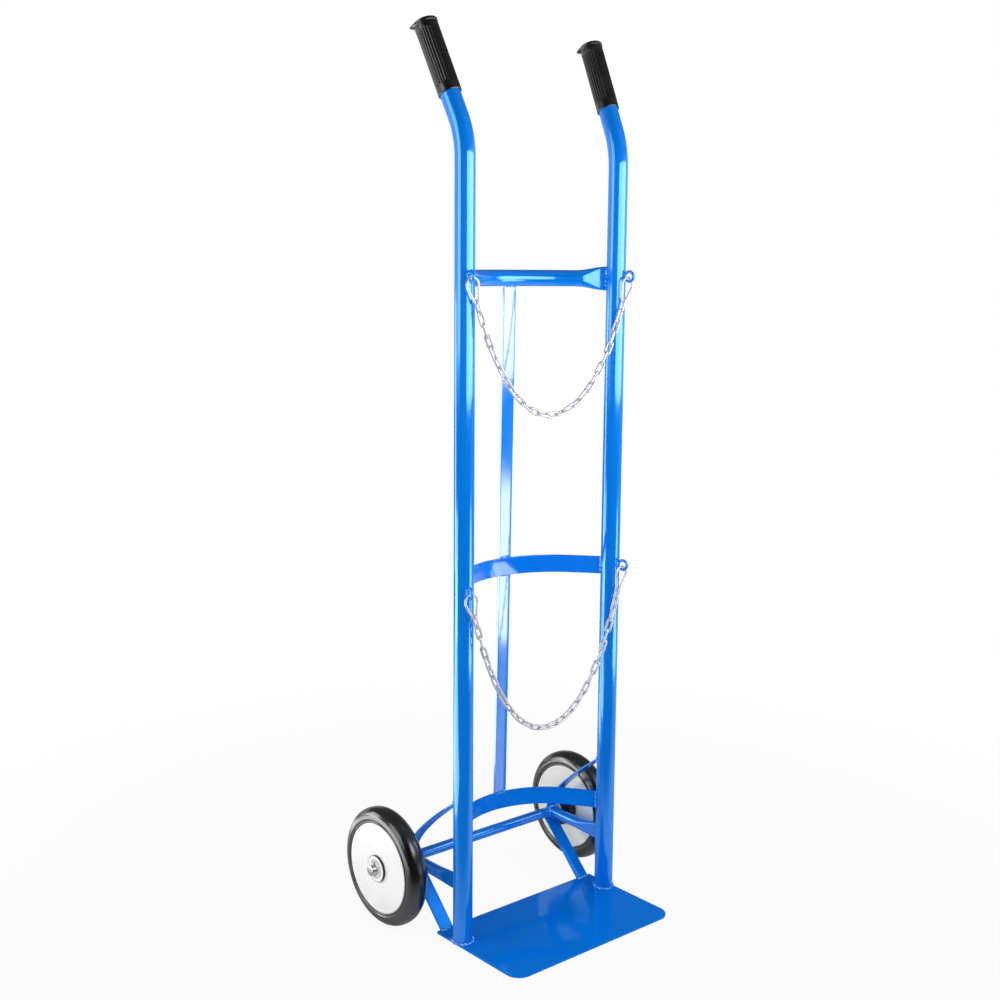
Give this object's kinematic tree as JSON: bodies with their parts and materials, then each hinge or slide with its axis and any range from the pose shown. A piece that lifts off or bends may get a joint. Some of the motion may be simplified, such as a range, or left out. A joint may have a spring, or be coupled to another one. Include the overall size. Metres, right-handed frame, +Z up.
{
  "type": "gas cylinder cart",
  "caption": "Upright wheeled hand cart for a tall gas cylinder: bent tube uprights with rubber grips, bowed cradles, a toe plate, rubber-tyred wheels and hanging securing chains.",
  "frame": {"origin": "on the toe plate's underside, below the middle of the line between the uprights' axes", "axes": "+Z up along the uprights, -Y forwards over the toe plate, +Y back to the wheels, +X to the right as seen from the front"},
  "size_m": [0.4932, 0.392, 1.4601],
  "materials": {
    "blue_paint": "gloss blue paint",
    "zinc": "bright zinc plating",
    "tyre_rubber": "smooth solid rubber",
    "grip_rubber": "ribbed rubber",
    "white_paint": "white paint",
    "cream_paint": "cream paint",
    "black_plastic": "moulded black"
  },
  "bodies": {
    "frame": {"left_upright": "blue_paint", "right_upright": "blue_paint", "top_crossbar": "blue_paint", "middle_cradle": "blue_paint", "lower_cradle": "blue_paint", "back_strap": "blue_paint", "toe_plate": "blue_paint", "left_stay_tube": "blue_paint", "right_stay_tube": "blue_paint", "left_upper_stay": "blue_paint", "right_upper_stay": "blue_paint", "left_lower_stay": "blue_paint", "right_lower_stay": "blue_paint", "axle": "blue_paint", "upper_left_eye": "blue_paint", "upper_right_eye": "blue_paint", "lower_left_eye": "blue_paint", "lower_right_eye": "blue_paint", "left_inner_washer": "zinc", "right_inner_washer": "zinc", "left_outer_washer": "zinc", "right_outer_washer": "zinc", "left_split_pin": "zinc", "right_split_pin": "zinc", "left_grip": "grip_rubber", "right_grip": "grip_rubber"},
    "left_wheel": {"left_tyre": "tyre_rubber", "left_outer_disc": "white_paint", "left_inner_disc": "cream_paint", "left_hub": "black_plastic"},
    "right_wheel": {"right_tyre": "tyre_rubber", "right_outer_disc": "white_paint", "right_inner_disc": "cream_paint", "right_hub": "black_plastic"},
    "upper_chain_set": {"upper_chain": "zinc", "upper_left_end_link": "zinc", "upper_right_end_link": "zinc"},
    "lower_chain_set": {"lower_chain": "zinc", "lower_left_end_link": "zinc", "lower_right_end_link": "zinc"}
  },
  "joints": [
    {"name": "left_wheel_spin", "type": "hinge", "parent": "frame", "child": "left_wheel", "pos_m": [-0.2134, 0.14, 0.1], "axis": [1, 0, 0], "continuous": true},
    {"name": "right_wheel_spin", "type": "hinge", "parent": "frame", "child": "right_wheel", "pos_m": [0.2134, 0.14, 0.1], "axis": [1, 0, 0], "continuous": true},
    {"name": "upper_chain_swing", "type": "hinge", "parent": "frame", "child": "upper_chain_set", "pos_m": [0, -0.02355, 1.0741], "axis": [-1, 0, 0], "range_deg": [0, 90]},
    {"name": "lower_chain_swing", "type": "hinge", "parent": "frame", "child": "lower_chain_set", "pos_m": [0, -0.02355, 0.5886], "axis": [-1, 0, 0], "range_deg": [0, 90]}
  ]
}
